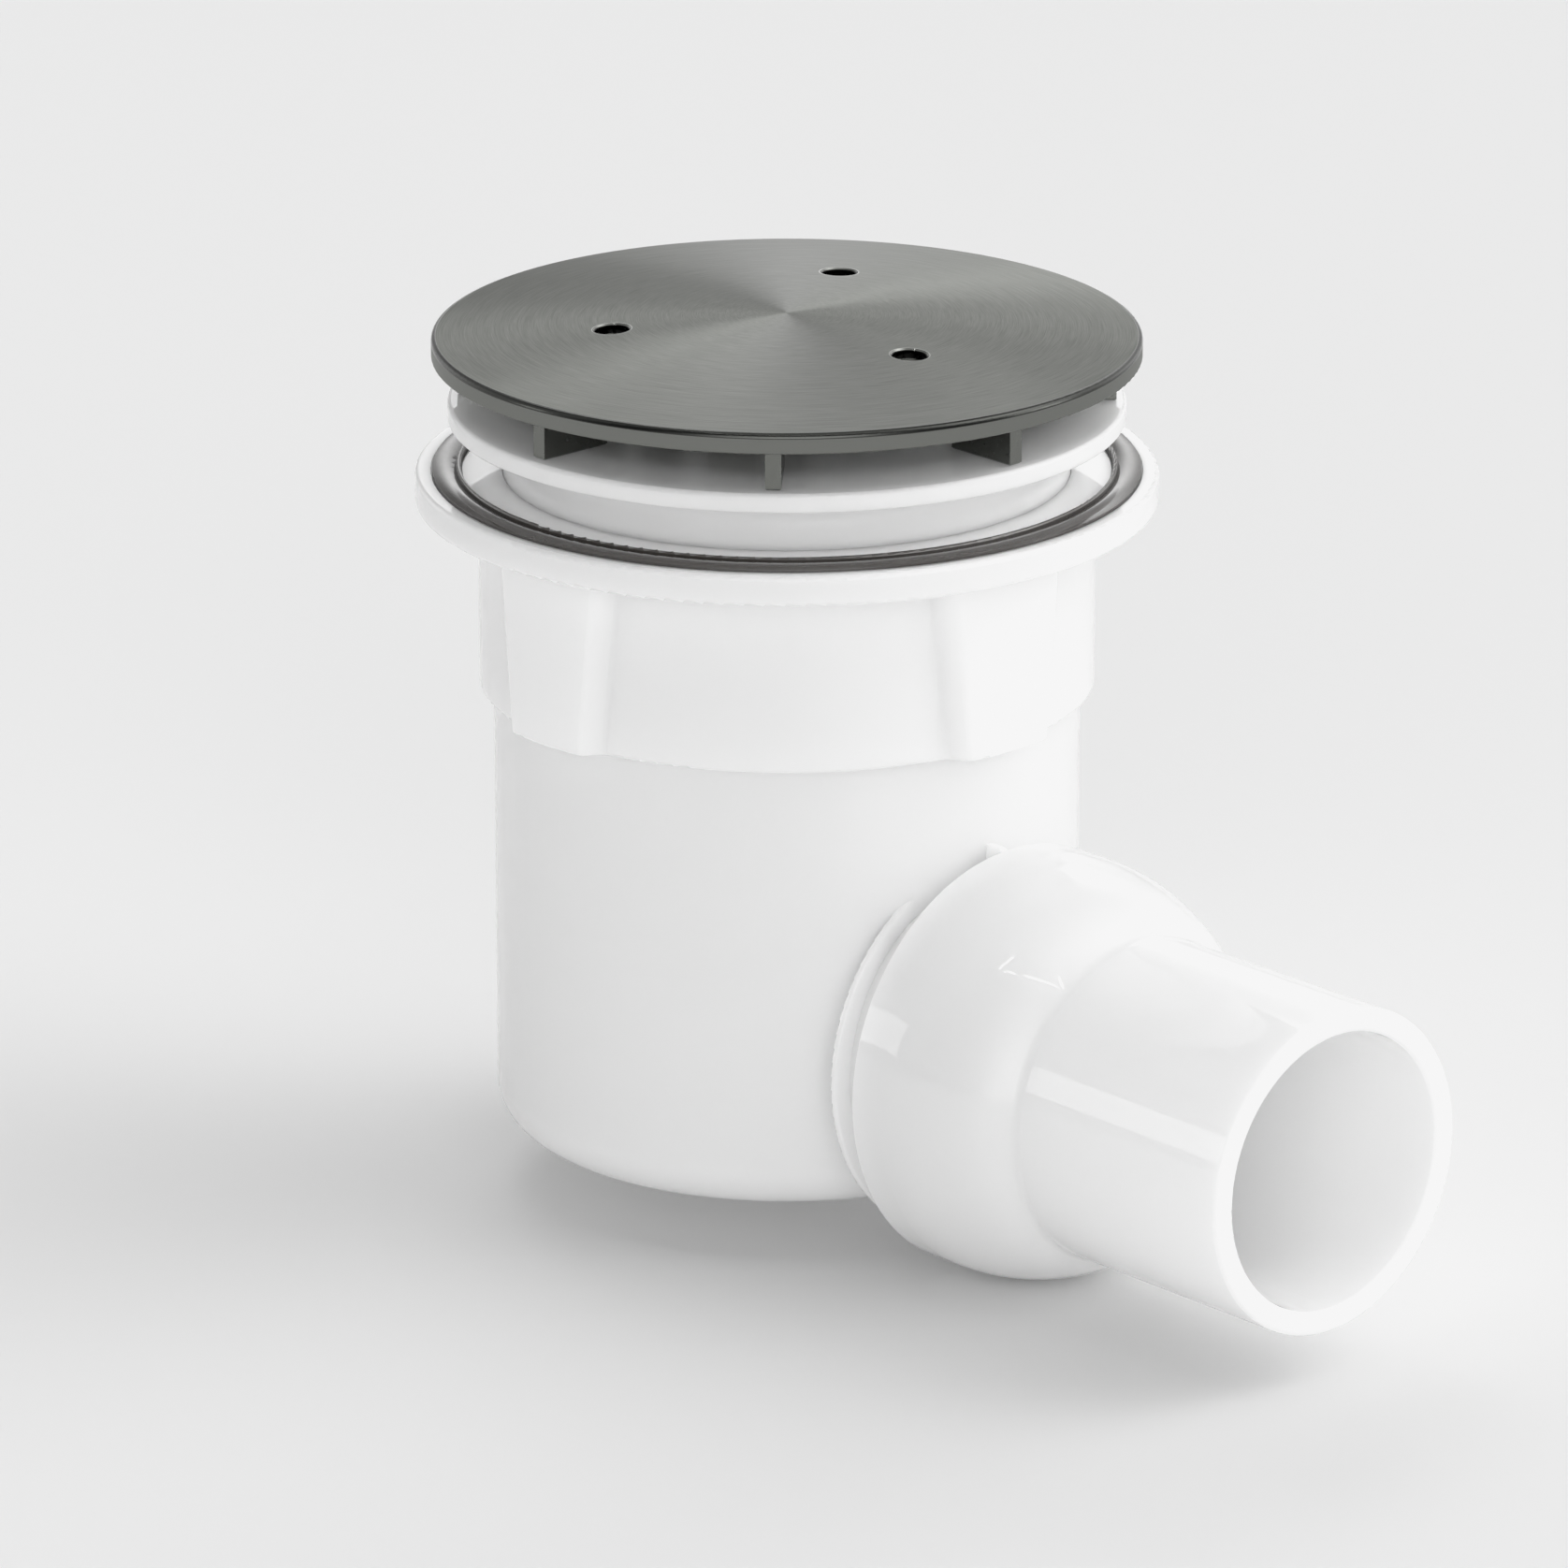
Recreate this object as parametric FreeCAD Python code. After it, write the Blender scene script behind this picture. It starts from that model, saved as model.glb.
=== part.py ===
import FreeCAD, Part
import math
import os

# Shower trap for a 90 mm tray hole: domed cover on legs, clamp flange, collar with a rubber seal,
# removable water seal, and an outlet that turns on a ball.
# Millimetres. The origin is on the body's upright axis in the plane of the tray's surface,
# which is the underside of the clamp flange. +Z is up, and the outlet leaves along +X.

# Cover plate
cover_dia = 108.0
cover_lift = 6.85
cover_rim_height = 3.1
cover_rim_wall = 2.0
cover_rise = 3.2
cover_skin = 1.5
cover_edge_round = 0.7
cover_base_round = 0.3
cover_hole_count = 3
cover_hole_dia = 5.3
cover_hole_circle = 54.2
cover_hole_chamfer = 0.35

# Carrier under the cover
carrier_skin = 1.2
carrier_glue_gap = 0.1
carrier_edge_gap = 0.3
carrier_hole_dia = 7.0
leg_count = 8
leg_thick = 2.4
leg_circle = 100.2
leg_length = 12.5
leg_foot_gap = 0.2
leg_foot_chamfer = 0.25
prong_count = 3
prong_width = 7.0
prong_thick = 1.5
prong_depth = 3.6
prong_clearance = 0.3

# Clamp flange and its neck
flange_dia = 103.2
flange_thick = 2.9
flange_edge_round = 0.6
flange_base_round = 0.3
neck_dia = 86.6
neck_wall = 3.0
neck_length = 38.0
neck_lead_in = 1.2
mouth_dia = 58.0
mouth_round = 1.4
sleeve_wall = 2.2
sleeve_depth = 11.0
ledge_width = 2.5
ledge_thick = 1.6
flange_rib_count = 6
flange_rib_thick = 1.8

# Gap that the tray is clamped in, from the flange to the collar
tray_gap = 8.2

# Collar and band at the top of the body
collar_dia = 113.4
collar_thick = 4.7
collar_edge_round = 0.7
groove_inner_dia = 98.9
groove_width = 4.85
groove_depth = 2.9
band_proud = 2.15
band_height = 29.0
band_root = 0.5
band_base_round = 0.5
thread_clearance = 0.1
neck_end_gap = 0.5

# Grips on the band
grip_count = 4
grip_proud = 2.85
grip_top_width = 21.6
grip_base_width = 15.6
grip_side_run = 2.0
grip_side_round = 1.5

# Rubber seal in the collar, with a broad dome and a narrow inner lip
seal_side_gap = 0.25
seal_shoulder = 0.35
seal_dome_rise = 0.75
seal_valley_rise = 0.25
seal_lip_rise = 1.05
seal_lip_width = 0.7

# Cup of the body
body_dia = 90.0
body_wall = 3.0
body_height = 104.9
body_floor = 2.4
body_base_round = 6.9
body_inner_round = 4.0

# Ball end and outlet pipe
outlet_drop = 90.0
waterway_dia = 42.6
ball_stand_off = 10.9
ball_dia = 59.4
ball_front = 15.0
cap_clearance = 0.3
cap_wall = 2.7
cap_skirt = 6.2
cap_lip_lead = 0.8
cap_edge_round = 0.2
cap_root_round = 2.5
pipe_dia = 50.0
pipe_length = 62.8
pipe_edge_round = 0.6

# Seal on the ball
ball_seal_cord = 3.0
ball_seal_offset = 3.0
ball_seal_squeeze_gap = 0.1
ball_groove_gap = 0.1

# Stop ring and rib between the body and the cap
stop_ring_sink = 2.1
stop_ring_thick = 1.3
stop_ring_dia = 59.4
stop_ring_round = 0.5
stop_root_depth = 4.0
stop_root_wall = 2.4
stop_rib_thick = 1.2
stop_rib_proud = 3.6
stop_rib_height = 32.3
stop_rib_chamfer_run = 0.9
stop_rib_chamfer_drop = 0.35

# Dip tube
head_clearance = 0.25
head_height = 6.0
head_seat_gap = 0.1
tube_dia = 34.0
tube_wall = 1.6
tube_base = 84.0
tube_end_round = 0.6
funnel_height = 9.0
insert_seal_cord = 2.4
insert_seal_gap = 0.1
insert_groove_gap = 0.1

# Cup that holds the water seal
cup_clearance = 0.5
cup_wall = 1.6
cup_rim = 30.0
cup_base = 95.0
cup_base_round = 5.0
cup_arm_count = 3
cup_arm_width = 9.0
cup_clip_height = 5.0
cup_clip_gap = 0.1

# Hair strainer
strainer_edge_gap = 0.3
strainer_seat = 4.0
strainer_seat_width = 2.0
strainer_thick = 1.2
strainer_rim_wall = 1.2
strainer_rim_height = 2.6
strainer_hole_dia = 4.0
strainer_ring_count = 3
strainer_first_holes = 7
strainer_more_holes = 6
strainer_knob_dia = 7.0
strainer_knob_height = 5.0

# Worked out from the sizes above
cover_r = cover_dia / 2
cover_recess_r = cover_r - cover_rim_wall
flange_r = flange_dia / 2
neck_r = neck_dia / 2
neck_bore_r = neck_r - neck_wall
thread_r = neck_r + thread_clearance
mouth_r = mouth_dia / 2
sleeve_r = mouth_r + sleeve_wall
ledge_r = mouth_r - ledge_width
ledge_top_z = flange_thick - sleeve_depth
ledge_base_z = ledge_top_z - ledge_thick
rim_base_z = flange_thick + cover_lift
rim_top_z = rim_base_z + cover_rim_height
dome_r = (cover_r ** 2 + cover_rise ** 2) / (2 * cover_rise)
dome_centre_z = rim_top_z + cover_rise - dome_r
leg_outer = leg_circle / 2
leg_inner = leg_outer - leg_length
collar_r = collar_dia / 2
collar_top_z = -tray_gap
collar_base_z = collar_top_z - collar_thick
groove_inner_r = groove_inner_dia / 2
groove_outer_r = groove_inner_r + groove_width
groove_floor_z = collar_top_z - groove_depth
body_r = body_dia / 2
body_bore_r = body_r - body_wall
body_base_z = collar_top_z - body_height
band_r = body_r + band_proud
band_base_z = collar_base_z - band_height
band_top_z = collar_base_z + band_root
grip_r = band_r + grip_proud
waterway_r = waterway_dia / 2
ball_reach = body_r + ball_stand_off
ball_r = ball_dia / 2
cap_inner_r = ball_r + cap_clearance
cap_outer_r = cap_inner_r + cap_wall
cap_rim_x = ball_reach - cap_skirt
pipe_r = pipe_dia / 2
pipe_reach = ball_reach + pipe_length
stop_ring_face = body_r - stop_ring_sink
stop_rib_reach = body_r + stop_rib_proud
ball_seal_r = ball_seal_cord / 2
head_r = mouth_r - head_clearance
head_base_z = ledge_top_z + head_seat_gap
head_top_z = head_base_z + head_height
tube_r = tube_dia / 2
cup_r = ledge_r - cup_clearance
clip_r = cup_r - cup_wall - cup_clip_gap
clip_top_z = head_base_z - cup_clip_gap
clip_base_z = clip_top_z - cup_clip_height
funnel_base_z = clip_base_z - funnel_height
strainer_seat_z = head_top_z - strainer_seat
strainer_bore_r = clip_r - tube_wall
strainer_recess_r = strainer_bore_r + strainer_seat_width
strainer_r = strainer_recess_r - strainer_edge_gap

origin = FreeCAD.Vector(0, 0, 0)
up = FreeCAD.Vector(0, 0, 1)
along = FreeCAD.Vector(1, 0, 0)
across = FreeCAD.Vector(0, 1, 0)
tiny = 0.001


# Helpers
def point(r, z):
    return FreeCAD.Vector(r, 0, z)


def corner_arc(before, corner, after, radius):
    """Tangent arc that rounds a corner between two straight edges, with its first and last point."""
    back = (before - corner).normalize()
    ahead = (after - corner).normalize()
    half_angle = back.getAngle(ahead) / 2
    reach = radius / math.tan(half_angle)
    inward = (back + ahead).normalize()
    middle = corner + inward * (radius / math.sin(half_angle) - radius)
    start = corner + back * reach
    end = corner + ahead * reach
    return start, Part.Arc(start, middle, end).toShape(), end


def outline(corners):
    """Closed wire in the XZ plane. A corner is (r, z) or (r, z, rounding), and ("by", r, z) bends an edge."""
    knots = [c for c in corners if c[0] != "by"]
    count = len(knots)
    bends = {}
    for i, c in enumerate(corners):
        if c[0] == "by":
            before = len([k for k in corners[:i] if k[0] != "by"]) - 1
            bends[before] = point(c[1], c[2])
    places = [point(k[0], k[1]) for k in knots]
    starts = list(places)
    ends = list(places)
    arcs = {}
    for i, k in enumerate(knots):
        if len(k) == 3:
            after = places[(i + 1) % count]
            starts[i], arcs[i], ends[i] = corner_arc(places[i - 1], places[i], after, k[2])
    edges = []
    for i in range(count):
        goal = starts[(i + 1) % count]
        if i in arcs:
            edges.append(arcs[i])
        if i in bends:
            edges.append(Part.Arc(ends[i], bends[i], goal).toShape())
        else:
            edges.append(Part.makeLine(ends[i], goal))
    return Part.Wire(edges)


def turned(corners):
    """Solid of revolution about the upright axis."""
    return Part.Face(outline(corners)).revolve(origin, up, 360)


def turned_on_outlet(corners):
    """Solid of revolution about the outlet's axis, from corners (distance from the body's axis, radius)."""
    swapped = []
    for c in corners:
        if c[0] == "by":
            swapped.append(("by", c[2], c[1]))
        else:
            swapped.append((c[1], c[0]) + tuple(c[2:]))
    solid = turned(swapped)
    solid.rotate(origin, across, 90)
    solid.translate(FreeCAD.Vector(0, 0, -outlet_drop))
    return solid


def ring_of(solid, count, first=0.0):
    """Copies of a solid evenly turned about the upright axis."""
    copies = []
    for i in range(count):
        copy = solid.copy()
        copy.rotate(origin, up, first + 360 * i / count)
        copies.append(copy)
    return copies


def block(x_from, x_to, width, z_from, z_to):
    """Upright block across the +X side, centred on the XZ plane."""
    corner = FreeCAD.Vector(x_from, -width / 2, z_from)
    return Part.makeBox(x_to - x_from, width, z_to - z_from, corner)


def peg(radius, z_from, z_to, x=0.0):
    """Upright cylinder at a distance along +X."""
    return Part.makeCylinder(radius, z_to - z_from, FreeCAD.Vector(x, 0, z_from))


def ring_edges(solid, radius, z):
    """Circular edges about the upright axis with this radius and height."""
    centre = FreeCAD.Vector(0, 0, z)
    found = []
    for edge in solid.Edges:
        if edge.Degenerated or not isinstance(edge.Curve, Part.Circle):
            continue
        if abs(edge.Curve.Radius - radius) < tiny and edge.Curve.Center.distanceToPoint(centre) < tiny:
            found.append(edge)
    return found


def half_chord(radius, distance):
    """Radius of a sphere's section at a distance from its centre."""
    return math.sqrt(radius ** 2 - distance ** 2)


def dome_z(r, drop=0.0):
    """Height at radius r of the cover's domed top, or of a surface that lies a drop below it."""
    return dome_centre_z + half_chord(dome_r - drop, r)


# Cover plate
def cover_drill(dia):
    """Drill for one hole, set square to the dome on the hole circle."""
    reach = cover_rise + cover_rim_height
    drill = peg(dia / 2, dome_z(0) - reach, dome_z(0) + reach)
    tilt = math.degrees(math.asin(cover_hole_circle / 2 / dome_r))
    drill.rotate(FreeCAD.Vector(0, 0, dome_centre_z), across, tilt)
    return drill


def make_cover_plate():
    under_z = dome_z(cover_recess_r, cover_skin)
    plate = turned([
        (0, dome_z(0)),
        ("by", cover_r / 2, dome_z(cover_r / 2)),
        (cover_r, rim_top_z),
        (cover_r, rim_base_z),
        (cover_recess_r, rim_base_z),
        (cover_recess_r, under_z),
        ("by", cover_r / 2, dome_z(cover_r / 2, cover_skin)),
        (0, dome_z(0, cover_skin)),
    ])
    plate = plate.makeFillet(cover_edge_round, ring_edges(plate, cover_r, rim_top_z))
    plate = plate.makeFillet(cover_base_round, ring_edges(plate, cover_r, rim_base_z))
    plate.rotate(origin, up, 180 / cover_hole_count)
    plate = plate.cut(ring_of(cover_drill(cover_hole_dia), cover_hole_count)).Solids[0]
    upper_z = dome_z(cover_hole_circle / 2, cover_skin / 4)
    mouths = []
    for edge in plate.Edges:
        small = edge.BoundBox.DiagonalLength < 2 * cover_hole_dia
        if small and not edge.Degenerated and edge.CenterOfMass.z > upper_z:
            mouths.append(edge)
    return plate.makeChamfer(cover_hole_chamfer, mouths)


# Carrier under the cover
def make_cover_carrier():
    top_drop = cover_skin + carrier_glue_gap
    base_drop = top_drop + carrier_skin
    edge_r = cover_recess_r - carrier_edge_gap
    foot_z = flange_thick + leg_foot_gap
    prong_z = flange_thick - prong_depth
    prong_r = mouth_r - prong_clearance
    plate = turned([
        (0, dome_z(0, top_drop)),
        ("by", edge_r / 2, dome_z(edge_r / 2, top_drop)),
        (edge_r, dome_z(edge_r, top_drop)),
        (edge_r, dome_z(edge_r, base_drop)),
        ("by", edge_r / 2, dome_z(edge_r / 2, base_drop)),
        (0, dome_z(0, base_drop)),
    ])
    under_dome = turned([
        (0, prong_z),
        (edge_r, prong_z),
        (edge_r, dome_z(edge_r, top_drop)),
        ("by", edge_r / 2, dome_z(edge_r / 2, top_drop)),
        (0, dome_z(0, top_drop)),
    ])
    leg = block(leg_inner, leg_outer, leg_thick, foot_z, dome_z(0))
    foot_edges = [e for e in leg.Edges if e.BoundBox.ZMax < foot_z + tiny]
    leg = leg.makeChamfer(leg_foot_chamfer, foot_edges)
    prong_ring = peg(prong_r, prong_z, dome_z(0)).cut(peg(prong_r - prong_thick, prong_z, dome_z(0)))
    prong = prong_ring.common(block(0, mouth_r, prong_width, prong_z, dome_z(0)))
    stems = ring_of(leg, leg_count) + ring_of(prong, prong_count, 180 / prong_count)
    stems = [stem.common(under_dome) for stem in stems]
    carrier = plate.fuse(stems)
    return carrier.cut(ring_of(cover_drill(carrier_hole_dia), cover_hole_count)).removeSplitter()


# Clamp flange
def make_clamp_flange():
    flange = turned([
        (mouth_r, flange_thick, mouth_round),
        (flange_r, flange_thick, flange_edge_round),
        (flange_r, 0, flange_base_round),
        (neck_r, 0),
        (neck_r, -neck_length + neck_lead_in),
        (neck_r - neck_lead_in, -neck_length),
        (neck_bore_r, -neck_length),
        (neck_bore_r, 0),
        (sleeve_r, 0),
        (sleeve_r, ledge_base_z),
        (ledge_r, ledge_base_z),
        (ledge_r, ledge_top_z),
        (mouth_r, ledge_top_z),
    ])
    half_wall = sleeve_wall / 2
    rib = block(mouth_r + half_wall, neck_r - half_wall, flange_rib_thick, ledge_base_z, flange_thick / 2)
    return flange.fuse(ring_of(rib, flange_rib_count)).removeSplitter()


# Rubber seal in the collar
def make_tray_seal():
    inner_r = groove_inner_r + seal_side_gap
    outer_r = groove_outer_r - seal_side_gap
    valley_r = inner_r + seal_lip_width
    lip_r = seal_lip_width / 2
    lip_side_z = collar_top_z + seal_lip_rise - lip_r
    return turned([
        (inner_r, groove_floor_z),
        (outer_r, groove_floor_z),
        (outer_r, collar_top_z + seal_shoulder),
        ("by", (outer_r + valley_r) / 2, collar_top_z + seal_dome_rise),
        (valley_r, collar_top_z + seal_valley_rise),
        (valley_r, lip_side_z),
        ("by", inner_r + lip_r, lip_side_z + lip_r),
        (inner_r, lip_side_z),
    ])


# Trap body
def grip_section(width, z):
    """Outline of a grip at one height, drawn on past the face and the foot of its sloping sides."""
    half = width / 2
    face = FreeCAD.Vector(half_chord(grip_r, half), half, z)
    foot = FreeCAD.Vector(half_chord(band_r, half + grip_side_run), half + grip_side_run, z)
    outer = face * 2 - foot
    inner = foot * 2 - face
    ring = [FreeCAD.Vector(x, y, z) for x, y in (
        (outer.x, -outer.y), (outer.x, outer.y), (inner.x, inner.y), (inner.x, -inner.y),
    )]
    return Part.makePolygon(ring + ring[:1])


def make_band():
    """Band with keystone grips that narrow downwards, their sides rounded into its surface."""
    wedge = Part.makeLoft([
        grip_section(grip_top_width, band_top_z),
        grip_section(grip_base_width, band_base_z),
    ], True, True)
    skin = peg(grip_r, band_base_z, band_top_z)
    skin.rotate(origin, up, 180)
    band = peg(band_r, band_base_z, band_top_z)
    band = band.fuse(ring_of(wedge.common(skin), grip_count)).removeSplitter()
    sides = [e for e in band.Edges if e.BoundBox.ZLength > band_height]
    band = band.makeFillet(grip_side_round, sides)
    base_edges = [e for e in band.Edges if e.BoundBox.ZMax < band_base_z + tiny]
    return band.makeFillet(band_base_round, base_edges)


def make_ball_end():
    """Root, stop ring and ball as one turned form, with the groove for the ball's seal."""
    ring_back = stop_ring_face - stop_ring_thick
    root_r = waterway_r + stop_root_wall
    ball = turned_on_outlet([
        (ring_back - stop_root_depth, 0),
        (ring_back - stop_root_depth, root_r),
        (ring_back, root_r),
        (ring_back, stop_ring_dia / 2, stop_ring_round),
        (stop_ring_face, stop_ring_dia / 2, stop_ring_round),
        (stop_ring_face, half_chord(ball_r, ball_reach - stop_ring_face)),
        ("by", ball_reach, ball_r),
        (ball_reach + ball_front, half_chord(ball_r, ball_front)),
        (ball_reach + ball_front, 0),
    ])
    groove = make_seal_cord(ball_seal_r + ball_groove_gap)
    return ball.cut(groove)


def make_stop_rib():
    top_z = -outlet_drop + stop_rib_height
    corners = [
        (body_bore_r, top_z),
        (stop_rib_reach - stop_rib_chamfer_run, top_z),
        (stop_rib_reach, top_z - stop_rib_chamfer_drop),
        (stop_rib_reach, -outlet_drop + waterway_r),
        (body_bore_r, -outlet_drop + waterway_r),
    ]
    face = Part.Face(outline(corners))
    face.translate(FreeCAD.Vector(0, -stop_rib_thick / 2, 0))
    return face.extrude(FreeCAD.Vector(0, stop_rib_thick, 0))


def make_trap_body():
    thread_base_z = -neck_length - neck_end_gap
    floor_z = body_base_z + body_floor
    shell = turned([
        (0, body_base_z),
        (body_r, body_base_z, body_base_round),
        (body_r, collar_base_z),
        (collar_r, collar_base_z, collar_edge_round),
        (collar_r, collar_top_z, collar_edge_round),
        (groove_outer_r, collar_top_z),
        (groove_outer_r, groove_floor_z),
        (groove_inner_r, groove_floor_z),
        (groove_inner_r, collar_top_z),
        (0, collar_top_z),
    ])
    shell = shell.fuse([make_band(), make_ball_end(), make_stop_rib()])
    hollow = turned([
        (0, floor_z),
        (body_bore_r, floor_z, body_inner_round),
        (body_bore_r, thread_base_z),
        (thread_r, thread_base_z),
        (thread_r, collar_top_z),
        (0, collar_top_z),
    ])
    waterway = Part.makeCylinder(waterway_r, pipe_reach, FreeCAD.Vector(0, 0, -outlet_drop), along)
    passage = waterway.cut(peg(body_bore_r - body_wall, body_base_z, 0))
    return shell.cut([hollow, passage]).removeSplitter()


# Outlet pipe with the cap that turns on the ball
def make_outlet_pipe():
    root_centre_r = pipe_r + cap_root_round
    root_reach = half_chord(cap_outer_r + cap_root_round, root_centre_r)
    share = cap_outer_r / (cap_outer_r + cap_root_round)
    root_angle = math.atan2(root_reach, root_centre_r) / 2
    bore_reach = half_chord(cap_inner_r, waterway_r)
    lip_offset = cap_skirt - cap_lip_lead
    shoulder_angle = math.atan2(root_centre_r, root_reach) / 2 + math.pi / 4
    return turned_on_outlet([
        (cap_rim_x, half_chord(cap_inner_r, lip_offset)),
        (cap_rim_x, cap_outer_r, cap_edge_round),
        (ball_reach, cap_outer_r),
        (
            "by",
            ball_reach + cap_outer_r * math.cos(shoulder_angle),
            cap_outer_r * math.sin(shoulder_angle),
        ),
        (ball_reach + root_reach * share, root_centre_r * share),
        (
            "by",
            ball_reach + root_reach - cap_root_round * math.sin(root_angle),
            root_centre_r - cap_root_round * math.cos(root_angle),
        ),
        (ball_reach + root_reach, pipe_r),
        (pipe_reach, pipe_r, pipe_edge_round),
        (pipe_reach, waterway_r, pipe_edge_round),
        (ball_reach + bore_reach, waterway_r),
        ("by", ball_reach, cap_inner_r),
        (ball_reach - lip_offset, half_chord(cap_inner_r, lip_offset)),
    ])


def make_seal_cord(cord_r):
    """Ring round the ball, square to the outlet, that just reaches the inside of the cap."""
    reach = cap_inner_r - ball_seal_squeeze_gap - ball_seal_r
    centre = FreeCAD.Vector(ball_reach + ball_seal_offset, 0, -outlet_drop)
    return Part.makeTorus(half_chord(reach, ball_seal_offset), cord_r, centre, along)


# Dip tube that hangs in the clamp flange's mouth
def make_dip_tube():
    groove_r = mouth_r - insert_seal_gap - insert_seal_cord - insert_groove_gap
    groove_half = insert_seal_cord / 2 + insert_groove_gap
    groove_z = (head_base_z + head_top_z) / 2
    bore_r = tube_r - tube_wall
    return turned([
        (head_r, head_top_z),
        (head_r, groove_z + groove_half),
        (groove_r, groove_z + groove_half),
        (groove_r, groove_z - groove_half),
        (head_r, groove_z - groove_half),
        (head_r, head_base_z),
        (clip_r, head_base_z),
        (clip_r, clip_base_z),
        (tube_r, funnel_base_z),
        (tube_r, -tube_base, tube_end_round),
        (bore_r, -tube_base, tube_end_round),
        (bore_r, funnel_base_z),
        (strainer_bore_r, clip_base_z),
        (strainer_bore_r, strainer_seat_z),
        (strainer_recess_r, strainer_seat_z),
        (strainer_recess_r, head_top_z),
    ])


def make_insert_seal():
    cord_r = insert_seal_cord / 2
    centre = point(0, (head_base_z + head_top_z) / 2)
    return Part.makeTorus(mouth_r - insert_seal_gap - cord_r, cord_r, centre, up)


# Cup that hangs on the dip tube
def make_trap_cup():
    inner_r = cup_r - cup_wall
    cup = turned([
        (0, -cup_base),
        (cup_r, -cup_base, cup_base_round),
        (cup_r, -cup_rim),
        (inner_r, -cup_rim),
        (inner_r, -cup_base + cup_wall, cup_base_round - cup_wall),
        (0, -cup_base + cup_wall),
    ])
    clip = peg(cup_r, clip_base_z, clip_top_z).cut(peg(inner_r, clip_base_z, clip_top_z))
    wall = peg(cup_r, -cup_rim - cup_wall, clip_top_z).cut(peg(inner_r, -cup_rim - cup_wall, clip_top_z))
    arm = wall.common(block(0, cup_r, cup_arm_width, -cup_rim - cup_wall, clip_top_z))
    return cup.fuse([clip] + ring_of(arm, cup_arm_count, 180 / cup_arm_count)).removeSplitter()


# Hair strainer that lies in the dip tube's head
def make_hair_strainer():
    inner_r = strainer_r - strainer_rim_wall
    knob_r = strainer_knob_dia / 2
    floor_z = strainer_seat_z + strainer_thick
    sieve = turned([
        (0, strainer_seat_z),
        (strainer_r, strainer_seat_z),
        (strainer_r, strainer_seat_z + strainer_rim_height),
        (inner_r, strainer_seat_z + strainer_rim_height),
        (inner_r, floor_z),
        (knob_r, floor_z),
        (knob_r, floor_z + strainer_knob_height, strainer_rim_wall),
        (0, floor_z + strainer_knob_height),
    ])
    ring_pitch = (strainer_bore_r - knob_r) / strainer_ring_count
    holes = []
    for i in range(strainer_ring_count):
        hole = peg(strainer_hole_dia / 2, strainer_seat_z, floor_z, knob_r + (i + 0.5) * ring_pitch)
        holes += ring_of(hole, strainer_first_holes + i * strainer_more_holes)
    return sieve.cut(holes)


parts = {
    "cover_plate": make_cover_plate(),
    "cover_carrier": make_cover_carrier(),
    "clamp_flange": make_clamp_flange(),
    "tray_seal": make_tray_seal(),
    "trap_body": make_trap_body(),
    "ball_seal": make_seal_cord(ball_seal_r),
    "outlet_pipe": make_outlet_pipe(),
    "dip_tube": make_dip_tube(),
    "insert_seal": make_insert_seal(),
    "trap_cup": make_trap_cup(),
    "hair_strainer": make_hair_strainer(),
}

os.makedirs("parts", exist_ok=True)
for name, shape in parts.items():
    shape.exportStep("parts/" + name + ".step")
    box = shape.BoundBox
    print(name, len(shape.Solids), round(shape.Volume), shape.isValid(), round(box.ZMin, 2), round(box.ZMax, 2))
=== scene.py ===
import math
import bpy
from mathutils import Matrix, Vector


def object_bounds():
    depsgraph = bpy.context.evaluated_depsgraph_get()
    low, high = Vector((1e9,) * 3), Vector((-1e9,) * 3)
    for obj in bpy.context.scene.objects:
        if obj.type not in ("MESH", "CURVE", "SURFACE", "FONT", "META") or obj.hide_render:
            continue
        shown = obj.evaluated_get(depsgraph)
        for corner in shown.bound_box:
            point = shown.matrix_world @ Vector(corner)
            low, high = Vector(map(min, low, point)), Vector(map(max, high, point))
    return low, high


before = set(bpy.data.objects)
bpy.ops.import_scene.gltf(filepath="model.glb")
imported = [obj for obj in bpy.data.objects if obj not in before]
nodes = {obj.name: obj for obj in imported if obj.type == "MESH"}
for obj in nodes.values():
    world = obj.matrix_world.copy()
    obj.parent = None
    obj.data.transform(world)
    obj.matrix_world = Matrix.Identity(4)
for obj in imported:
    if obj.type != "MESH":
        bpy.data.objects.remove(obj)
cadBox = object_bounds()
print("frame loaded:", len(nodes), "nodes")


# small helpers for the shader trees
def newMaterial(name):
    mat = bpy.data.materials.new(name)
    mat.use_nodes = True
    tree = mat.node_tree
    return mat, tree, tree.nodes["Principled BSDF"]


def addNode(tree, kind, **values):
    # each value goes to the node's own setting of that name, or else to its input
    node = tree.nodes.new(kind)
    for key, value in values.items():
        if hasattr(node, key):
            setattr(node, key, value)
        else:
            node.inputs[key].default_value = value
    return node


def wire(tree, fromSocket, toSocket):
    tree.links.new(fromSocket, toSocket)


def objectPlace(tree):
    return addNode(tree, "ShaderNodeTexCoord").outputs["Object"]


def mathNode(tree, operation, first, second):
    # first and second may each be a socket or a number
    node = addNode(tree, "ShaderNodeMath", operation=operation)
    for i, value in enumerate((first, second)):
        if hasattr(value, "is_output"):
            wire(tree, value, node.inputs[i])
        else:
            node.inputs[i].default_value = value
    return node.outputs[0]


def vectorNode(tree, operation, source):
    node = addNode(tree, "ShaderNodeVectorMath", operation=operation)
    wire(tree, source, node.inputs[0])
    return node


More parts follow.
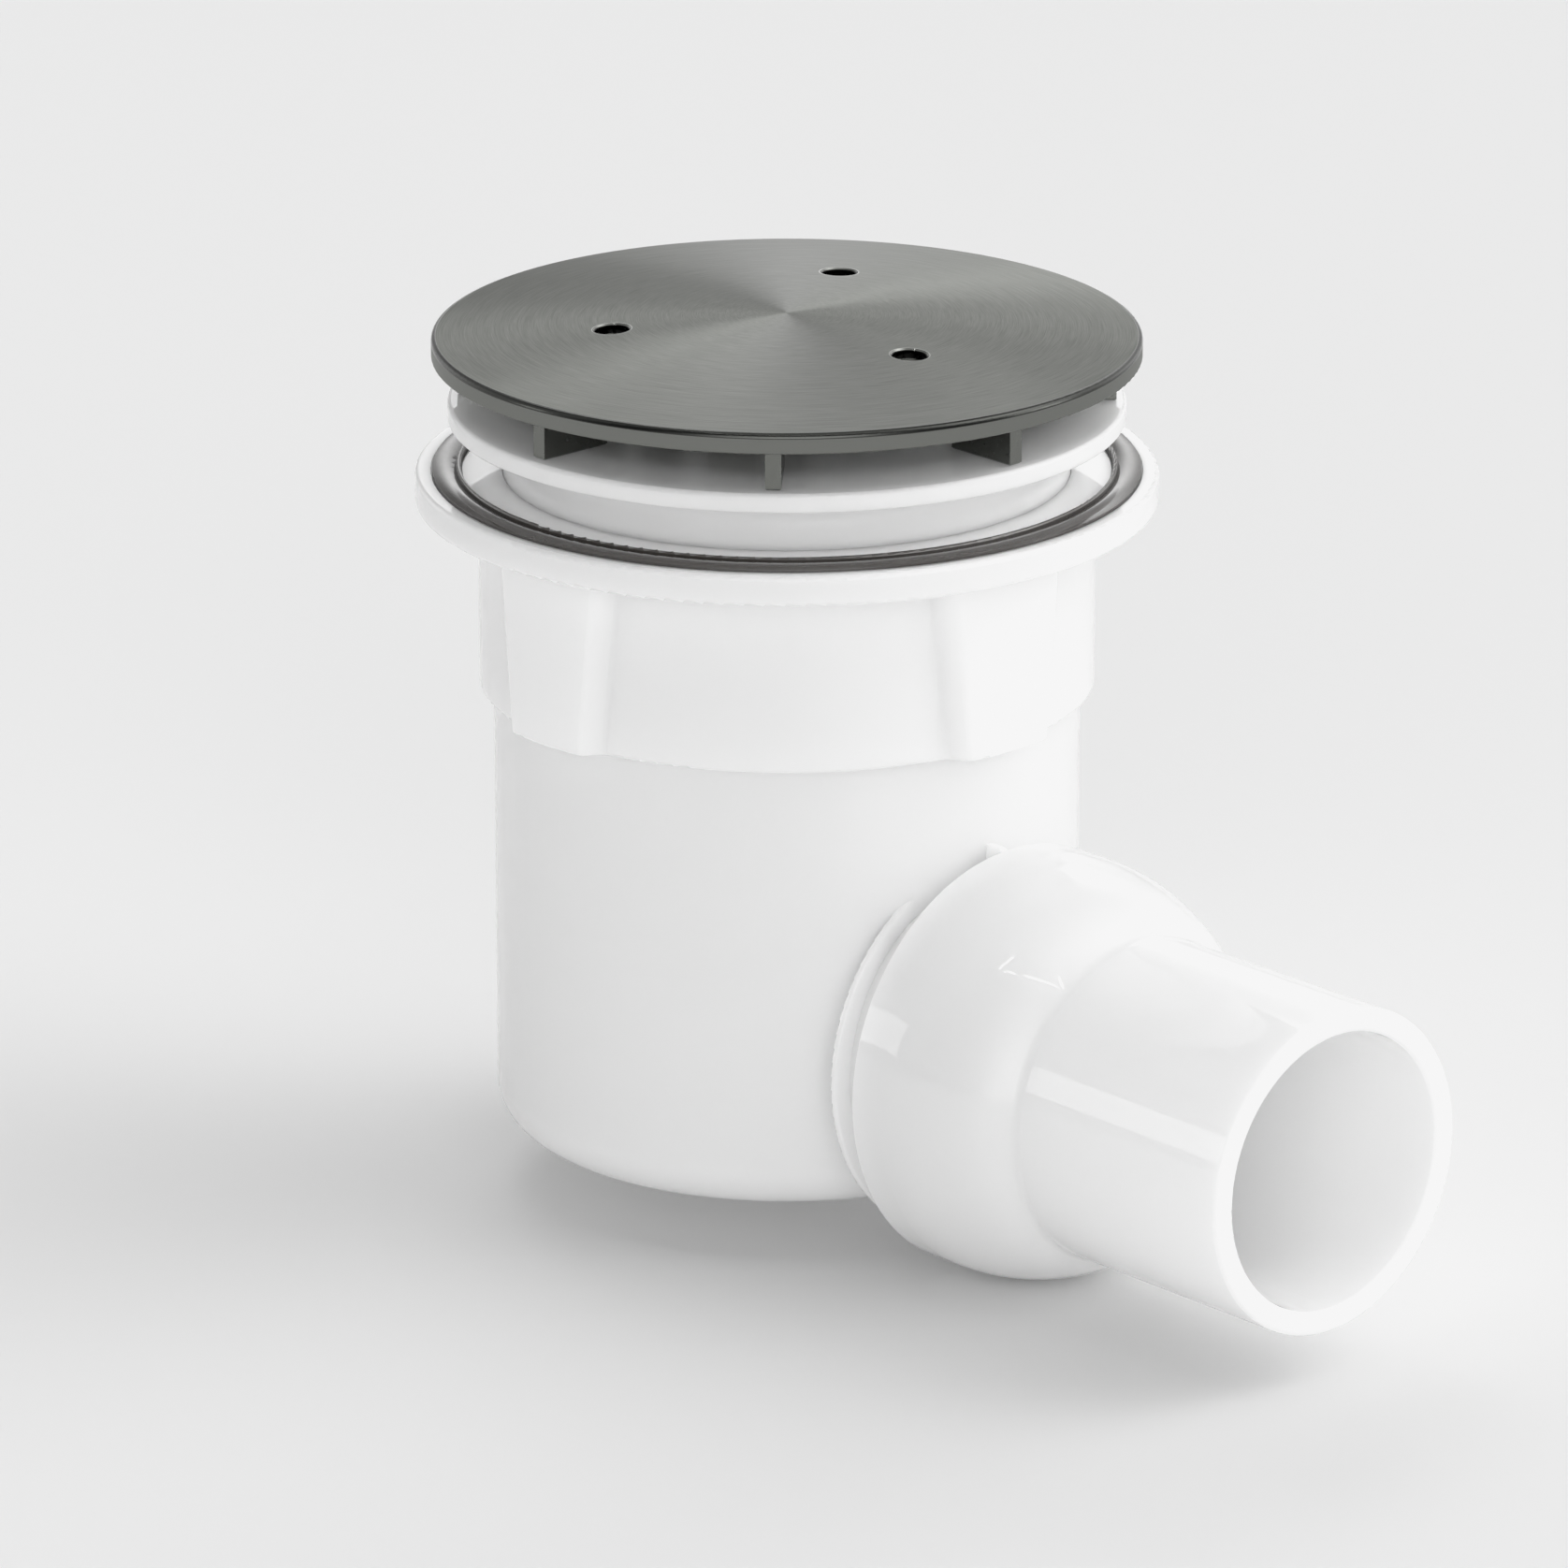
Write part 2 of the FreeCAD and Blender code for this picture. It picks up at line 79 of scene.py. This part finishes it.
def mixedNumber(tree, fac, first, second):
    # first where fac is 0, second where it is 1; first may be a socket
    node = addNode(tree, "ShaderNodeMix", data_type="FLOAT")
    if hasattr(first, "is_output"):
        wire(tree, first, node.inputs[2])
    else:
        node.inputs[2].default_value = first
    node.inputs[3].default_value = second
    wire(tree, fac, node.inputs[0])
    return node.outputs[0]


def noiseAt(tree, place, scale, detail=2.0, **values):
    noise = addNode(tree, "ShaderNodeTexNoise", Scale=scale, Detail=detail, **values)
    wire(tree, place, noise.inputs["Vector"])
    return noise.outputs["Fac"]


def tinted(tree, shader, fac, colour, change):
    # base colour that wanders between the colour and its changed shade
    tint = addNode(tree, "ShaderNodeMix", data_type="RGBA")
    tint.inputs[6].default_value = colour
    tint.inputs[7].default_value = [c * change for c in colour[:3]] + [1]
    wire(tree, fac, tint.inputs[0])
    wire(tree, tint.outputs[2], shader.inputs["Base Color"])


noiseReach = (0.3, 0.7)   # most of a noise texture's values lie between these


def spread(tree, fac, low, high):
    # noise stretched to the range from low to high
    node = addNode(tree, "ShaderNodeMapRange")
    for i, value in enumerate((*noiseReach, low, high)):
        node.inputs[i + 1].default_value = value
    wire(tree, fac, node.inputs[0])
    return node.outputs[0]


def bumped(tree, shader, height, distance, strength=1.0):
    bump = addNode(tree, "ShaderNodeBump", Strength=strength, Distance=distance)
    wire(tree, height, bump.inputs["Height"])
    wire(tree, bump.outputs["Normal"], shader.inputs["Normal"])


def makeGrainy(name, look, metallic=0.0):
    # one fine noise drives the shade, the roughness and the bump
    mat, tree, shader = newMaterial(name)
    shader.inputs["Metallic"].default_value = metallic
    shader.inputs["IOR"].default_value = look["ior"]
    grain = noiseAt(tree, objectPlace(tree), look["grainScale"], look["grainDetail"])
    tinted(tree, shader, grain, look["colour"], look["shade"])
    wire(tree, spread(tree, grain, *look["roughness"]), shader.inputs["Roughness"])
    bumped(tree, shader, grain, look["grainHeight"], look["grainStrength"])
    return mat


# white moulded plastic: glossy, slightly see-through, with a faint ripple and a polish that wanders
whiteLook = {
    "colour": (0.94, 0.94, 0.94, 1), "shade": 0.985, "ior": 1.46,
    "through": 1.0, "throughDepth": 0.005, "throughRadius": (1, 1, 1),
    "flowScale": 14.0,
    "polish": (0.01, 0.03), "polishScale": 60.0, "polishDetail": 3.0,
    "rippleScale": 240.0, "rippleDetail": 1.0, "rippleHeight": 0.0000006,
}


def makeWhite():
    mat, tree, shader = newMaterial("whiteMoulding")
    shader.inputs["IOR"].default_value = whiteLook["ior"]
    shader.inputs["Subsurface Weight"].default_value = whiteLook["through"]
    shader.inputs["Subsurface Radius"].default_value = whiteLook["throughRadius"]
    shader.inputs["Subsurface Scale"].default_value = whiteLook["throughDepth"]
    place = objectPlace(tree)
    flow = noiseAt(tree, place, whiteLook["flowScale"])
    tinted(tree, shader, flow, whiteLook["colour"], whiteLook["shade"])
    polish = noiseAt(tree, place, whiteLook["polishScale"], whiteLook["polishDetail"])
    wire(tree, spread(tree, polish, *whiteLook["polish"]), shader.inputs["Roughness"])
    ripple = noiseAt(tree, place, whiteLook["rippleScale"], whiteLook["rippleDetail"])
    bumped(tree, shader, ripple, whiteLook["rippleHeight"])
    return mat


# cover plate: grey metal, brushed in circles round the centre, its edge rounding and the holes' lips
# polished, its rim without lines; painted shade darkens its hole walls, and a painted dark reflection
# darkens its top edge rounding
brushLook = {
    "colour": (0.2, 0.205, 0.192), "roughness": 0.5, "anisotropy": 0.9,
    "linesPerMetre": 9000.0, "lineLength": 6.0, "lineDetail": 3.0, "lineRoughness": 0.6,
    "lineHeight": 0.0000004, "lineStrength": 0.6, "lineContrast": 0.22,
    "rimFrom": 0.0533, "rimRoughness": 0.36,
    # painted reflection: the top edge rounding's colour is scaled by this, so it looks as if it mirrored
    # dark surroundings
    "roundAbove": 0.0121, "roundPaintedReflection": 0.3, "polished": 0.13,
    # painted shade: the hole walls' colour is scaled down to this, so the holes look dark inside
    "holes": 3, "holeCircle": 0.0271, "holeWall": 0.00276, "holeLip": 0.0031, "holePaintedShade": 0.04,
}


def nearestHole(tree, place):
    # distance from the nearest hole's axis
    nearest = None
    for i in range(brushLook["holes"]):
        turn = math.tau * i / brushLook["holes"]
        distance = vectorNode(tree, "DISTANCE", place)
        distance.inputs[1].default_value = (brushLook["holeCircle"] * math.cos(turn),
                                            brushLook["holeCircle"] * math.sin(turn), 0)
        gap = distance.outputs["Value"]
        nearest = gap if nearest is None else mathNode(tree, "MINIMUM", nearest, gap)
    return nearest


def circleLines(tree, flat, radius):
    # noise drawn out along circles: read on a unit circle that the radius lifts
    outward = addNode(tree, "ShaderNodeSeparateXYZ")
    wire(tree, vectorNode(tree, "NORMALIZE", flat).outputs[0], outward.inputs[0])
    grooves = addNode(tree, "ShaderNodeCombineXYZ")
    for axis in "XY":
        along = mathNode(tree, "MULTIPLY", outward.outputs[axis], brushLook["lineLength"])
        wire(tree, along, grooves.inputs[axis])
    across = mathNode(tree, "MULTIPLY", radius, brushLook["linesPerMetre"])
    wire(tree, across, grooves.inputs["Z"])
    return noiseAt(tree, grooves.outputs[0], 1.0, brushLook["lineDetail"],
                   Roughness=brushLook["lineRoughness"])


def makeBrushed():
    mat, tree, shader = newMaterial("brushedGrey")
    shader.inputs["Metallic"].default_value = 1.0
    shader.inputs["Anisotropic"].default_value = brushLook["anisotropy"]
    around = addNode(tree, "ShaderNodeTangent", direction_type="RADIAL", axis="Z")
    wire(tree, around.outputs["Tangent"], shader.inputs["Tangent"])
    split = addNode(tree, "ShaderNodeSeparateXYZ")
    wire(tree, objectPlace(tree), split.inputs[0])
    level = addNode(tree, "ShaderNodeCombineXYZ")
    wire(tree, split.outputs["X"], level.inputs["X"])
    wire(tree, split.outputs["Y"], level.inputs["Y"])
    flat = level.outputs[0]
    radius = vectorNode(tree, "LENGTH", flat).outputs["Value"]
    lines = circleLines(tree, flat, radius)

    # where things are: 1 inside each region, 0 outside
    holeGap = nearestHole(tree, flat)
    inHole = mathNode(tree, "LESS_THAN", holeGap, brushLook["holeWall"])
    onLip = mathNode(tree, "LESS_THAN", holeGap, brushLook["holeLip"])
    onRim = mathNode(tree, "GREATER_THAN", radius, brushLook["rimFrom"])
    onTop = mathNode(tree, "GREATER_THAN", split.outputs["Z"], brushLook["roundAbove"])
    onRound = mathNode(tree, "MULTIPLY", onRim, onTop)
    isPolished = mathNode(tree, "MAXIMUM", onRound, onLip)
    lineFree = mathNode(tree, "MAXIMUM", onRim, onLip)

    rimOrTop = mixedNumber(tree, onRim, brushLook["roughness"], brushLook["rimRoughness"])
    roughness = mixedNumber(tree, isPolished, rimOrTop, brushLook["polished"])
    wire(tree, roughness, shader.inputs["Roughness"])
    contrast = spread(tree, lines, 1 - brushLook["lineContrast"], 1 + brushLook["lineContrast"])
    brushedShade = mixedNumber(tree, lineFree, contrast, 1.0)
    # painted shade in the holes and a painted dark reflection on the top edge rounding, both taken off the
    # base colour
    paintedDarkening = mathNode(tree, "ADD", mathNode(tree, "MULTIPLY", inHole, 1 - brushLook["holePaintedShade"]),
                        mathNode(tree, "MULTIPLY", onRound, 1 - brushLook["roundPaintedReflection"]))
    fullShade = mathNode(tree, "MULTIPLY", brushedShade, mathNode(tree, "SUBTRACT", 1.0, paintedDarkening))
    shade = addNode(tree, "ShaderNodeVectorMath", operation="SCALE")
    shade.inputs[0].default_value = brushLook["colour"]
    wire(tree, fullShade, shade.inputs["Scale"])
    wire(tree, shade.outputs[0], shader.inputs["Base Color"])
    bumped(tree, shader, brushedShade, brushLook["lineHeight"], brushLook["lineStrength"])
    return mat


# carrier and its legs: the same grey, smoother
legLook = {
    "colour": (0.16, 0.164, 0.153, 1), "shade": 1.1, "roughness": (0.2, 0.28), "ior": 1.5,
    "grainScale": 1400.0, "grainDetail": 2.0, "grainHeight": 0.0000003, "grainStrength": 0.5,
}

# rubber seals: dark, with a soft shine
rubberLook = {
    "colour": (0.05, 0.045, 0.041, 1), "shade": 1.3, "roughness": (0.1, 0.17), "ior": 1.8,
    "grainScale": 700.0, "grainDetail": 3.0, "grainHeight": 0.0000006, "grainStrength": 0.5,
}

# inner pieces: pale grey moulding, satin
innerLook = {
    "colour": (0.62, 0.63, 0.63, 1), "shade": 0.94, "roughness": (0.32, 0.44), "ior": 1.5,
    "grainScale": 700.0, "grainDetail": 2.0, "grainHeight": 0.00001, "grainStrength": 0.3,
}

white = makeWhite()
brushed = makeBrushed()
legMetal = makeGrainy("carrierGrey", legLook, metallic=1.0)
rubber = makeGrainy("darkRubber", rubberLook)
inner = makeGrainy("paleInsert", innerLook)
nodeLooks = {
    "cover_plate": brushed, "cover_carrier": legMetal, "clamp_flange": white, "tray_seal": rubber,
    "trap_body": white, "ball_seal": rubber, "outlet_pipe": white, "dip_tube": inner,
    "insert_seal": rubber, "trap_cup": inner, "hair_strainer": inner,
}
for nodeName, look in nodeLooks.items():
    slots = nodes[nodeName].data.materials
    slots.clear()
    slots.append(look)
print("materials on", len(nodeLooks), "nodes")


# camera at the photo's viewing angle: turn measured from the outlet's direction
viewPlace = {
    "turnFromOutlet": 42.68, "elevation": 18.69, "distance": 1.48735,
    "aimHeight": -0.05938, "aimRight": -0.00043, "focalLength": 221.6, "sensor": 36.0,
}
turn = math.radians(viewPlace["turnFromOutlet"])
towardCamera = Vector((math.cos(turn), -math.sin(turn), 0))
toRight = Vector((math.sin(turn), math.cos(turn), 0))
upward = Vector((0, 0, 1))


def direction(right, elevation):
    # a direction given by its angle right of the camera's side and its elevation, in degrees
    across = math.radians(right)
    rise = math.radians(elevation)
    flat = towardCamera * math.cos(across) + toRight * math.sin(across)
    return flat * math.cos(rise) + upward * math.sin(rise)


def facing(aim, place):
    return (aim - place).to_track_quat("-Z", "Y").to_euler()


def addCamera():
    aim = toRight * viewPlace["aimRight"] + upward * viewPlace["aimHeight"]
    place = aim + direction(0, viewPlace["elevation"]) * viewPlace["distance"]
    bpy.ops.object.camera_add(location=place)
    camera = bpy.context.object
    camera.name = "photoView"
    camera.rotation_euler = facing(aim, place)
    camera.data.lens = viewPlace["focalLength"]
    camera.data.sensor_width = viewPlace["sensor"]
    bpy.context.scene.camera = camera


# floor: plain and pale, at the part's lowest point
floorLook = {
    "size": 12.0, "colour": (0.8, 0.8, 0.8, 1), "shade": 0.99, "roughness": 0.9, "wanderScale": 1.5,
}


def addFloor():
    bpy.ops.mesh.primitive_plane_add(size=floorLook["size"], location=(0, 0, cadBox[0].z))
    floor = bpy.context.object
    floor.name = "floor"
    mat, tree, shader = newMaterial("floorPale")
    shader.inputs["Roughness"].default_value = floorLook["roughness"]
    wander = noiseAt(tree, objectPlace(tree), floorLook["wanderScale"])
    tinted(tree, shader, wander, floorLook["colour"], floorLook["shade"])
    floor.data.materials.append(mat)


# soft light of the room: angle right of the camera's side, elevation, tightness and strength of each glow
roomGlows = [
    (-135, 8, 10, 1.2), (-90, 8, 10, 0.5), (0, 8, 10, 3.45), (135, 8, 10, 1.6),
    (-90, 42, 10, 0.5), (90, 42, 10, 3.35), (0, 88, 10, 0.95),
    (90, 8, 60, 4.4), (20, 20, 60, 1.5), (180, 12, 60, 2.2), (168, 34, 60, 2.95), (-165, 50, 60, 3.5),
]


def addRoom():
    world = bpy.data.worlds.new("paleRoom")
    bpy.context.scene.world = world
    world.use_nodes = True
    tree = world.node_tree
    look = vectorNode(tree, "NORMALIZE", addNode(tree, "ShaderNodeTexCoord").outputs["Generated"])
    total = 0.0
    for right, elevation, tightness, strength in roomGlows:
        nearness = vectorNode(tree, "DOT_PRODUCT", look.outputs[0])
        nearness.inputs[1].default_value = direction(right, elevation)
        ahead = mathNode(tree, "MAXIMUM", nearness.outputs["Value"], 0.0)
        glow = mathNode(tree, "MULTIPLY", mathNode(tree, "POWER", ahead, tightness), strength)
        total = mathNode(tree, "ADD", glow, total)
    wire(tree, total, tree.nodes["Background"].inputs["Color"])


# a softbox at the left, which the cap and the spigot reflect, and four thin strips of light overhead,
# which the cap reflects; each strip runs from one direction to another, as (right, elevation) in degrees
softbox = {
    "aim": (0.02, 0, -0.06), "right": -87, "elevation": 11, "distance": 1.0,
    "width": 0.2, "height": 0.25, "radiance": 1.9,
}
strips = {
    "aim": (0.056, 0, -0.09), "distance": 1.2, "width": 0.014, "radiance": 12.0,
    "ends": [
        ((-49.9, 65.1), (-47.4, 74.1)), ((-45.8, 64.8), (-28.0, 66.2)),
        ((-17.0, 66.0), (16.3, 60.2)), ((19.2, 60.4), (22.2, 64.8)),
    ],
}


def addLamp(name, place, rotation, width, height, radiance):
    bpy.ops.object.light_add(type="AREA", location=place)
    lamp = bpy.context.object
    lamp.name = name
    lamp.rotation_euler = rotation
    lamp.data.shape = "RECTANGLE"
    lamp.data.size = width
    lamp.data.size_y = height
    lamp.data.energy = radiance * math.pi * width * height


def addSoftbox():
    aim = Vector(softbox["aim"])
    place = aim + direction(softbox["right"], softbox["elevation"]) * softbox["distance"]
    addLamp("stripLeft", place, facing(aim, place), softbox["width"], softbox["height"], softbox["radiance"])


def addStrips():
    aim = Vector(strips["aim"])
    for i, spots in enumerate(strips["ends"]):
        start, end = [aim + direction(*spot) * strips["distance"] for spot in spots]
        middle = (start + end) / 2
        along = (end - start).normalized()
        side = (middle - aim).normalized().cross(along).normalized()
        turned = Matrix((along, side, along.cross(side))).transposed()
        addLamp(f"thinLine{i + 1}", middle, turned.to_euler(), (end - start).length, strips["width"],
                strips["radiance"])


# how light turns into the picture: bounces, and a shoulder that lets the brightest whites roll off
# softly instead of clipping, as pairs of light in and light shown
pictureLook = {
    "bounces": 12, "diffuseBounces": 8,
    "shoulder": [(0.2, 0.2), (0.4, 0.4), (0.6, 0.6), (0.78, 0.78), (0.9, 0.877), (1.0, 0.922),
                 (1.2, 0.962), (1.5, 0.985)],
    "whitest": (2.2, 1.0),
}


def setPicture():
    scene = bpy.context.scene
    scene.cycles.max_bounces = pictureLook["bounces"]
    scene.cycles.diffuse_bounces = pictureLook["diffuseBounces"]
    scene.view_settings.view_transform = "Standard"
    scene.view_settings.use_curve_mapping = True
    mapping = scene.view_settings.curve_mapping
    mapping.use_clip = False
    mapping.extend = "HORIZONTAL"
    allColours = mapping.curves[3]
    allColours.points[1].location = pictureLook["whitest"]
    for spot in pictureLook["shoulder"]:
        allColours.points.new(*spot)
    mapping.update()


addCamera()
addFloor()
addRoom()
addSoftbox()
addStrips()
setPicture()
print("stage, lights and camera placed")
